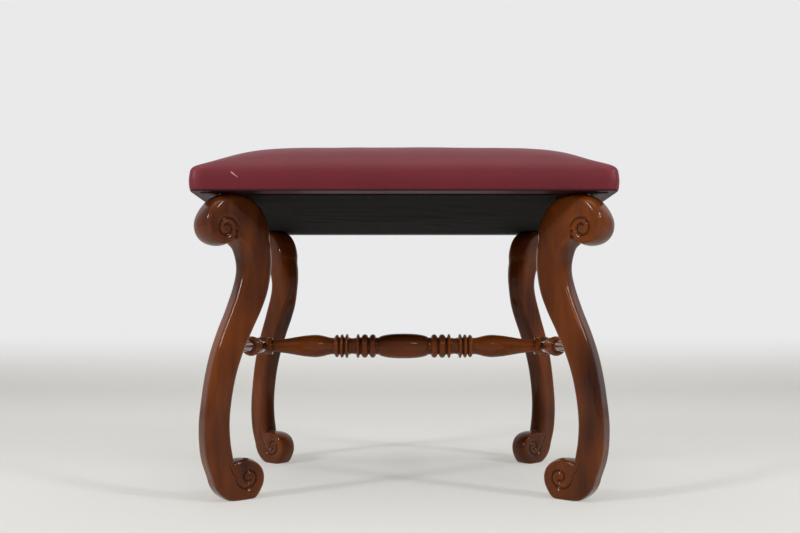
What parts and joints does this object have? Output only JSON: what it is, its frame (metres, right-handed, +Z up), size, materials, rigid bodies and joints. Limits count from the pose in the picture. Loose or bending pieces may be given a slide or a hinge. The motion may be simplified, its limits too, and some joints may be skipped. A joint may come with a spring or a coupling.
{
  "type": "scroll-leg footstool",
  "caption": "Upholstered footstool: a crowned burgundy leather seat on scroll-shaped polished mahogany legs, joined low down by turned stretchers in an H.",
  "frame": {"origin": "on the floor, under the middle of the seat", "axes": "+X along the seat's long side, to the right of the pictured side; +Y from that side to the back; +Z up from the floor"},
  "size_m": [0.566, 0.4184, 0.485],
  "materials": {
    "mahogany": "polished",
    "frame_wood": "plain sawn",
    "leather": "semi-gloss",
    "lining": "matt",
    "webbing": "matt",
    "hessian": "matt",
    "stuffing": "matt",
    "screw_steel": "plain"
  },
  "bodies": {
    "root": {"block_screw_back_left_long": "screw_steel", "block_screw_back_left_side": "screw_steel", "block_screw_back_right_long": "screw_steel", "block_screw_back_right_side": "screw_steel", "block_screw_front_left_long": "screw_steel", "block_screw_front_left_side": "screw_steel", "block_screw_front_right_long": "screw_steel", "block_screw_front_right_side": "screw_steel", "corner_block_back_left": "frame_wood", "corner_block_back_right": "frame_wood", "corner_block_front_left": "frame_wood", "corner_block_front_right": "frame_wood", "dust_cover": "lining", "hessian_sheet": "hessian", "leather_cover": "leather", "leg_back_left": "mahogany", "leg_back_right": "mahogany", "leg_front_left": "mahogany", "leg_front_right": "mahogany", "leg_screw_back_left_inner": "screw_steel", "leg_screw_back_left_outer": "screw_steel", "leg_screw_back_right_inner": "screw_steel", "leg_screw_back_right_outer": "screw_steel", "leg_screw_front_left_inner": "screw_steel", "leg_screw_front_left_outer": "screw_steel", "leg_screw_front_right_inner": "screw_steel", "leg_screw_front_right_outer": "screw_steel", "long_stretcher": "mahogany", "seat_rail_back": "frame_wood", "seat_rail_front": "frame_wood", "seat_rail_left": "frame_wood", "seat_rail_right": "frame_wood", "side_stretcher_left": "mahogany", "side_stretcher_right": "mahogany", "stuffing_pad": "stuffing", "web_cross_1": "webbing", "web_cross_2": "webbing", "web_cross_3": "webbing", "web_cross_4": "webbing", "web_cross_5": "webbing", "web_long_1": "webbing", "web_long_2": "webbing", "web_long_3": "webbing"}
  },
  "joints": []
}
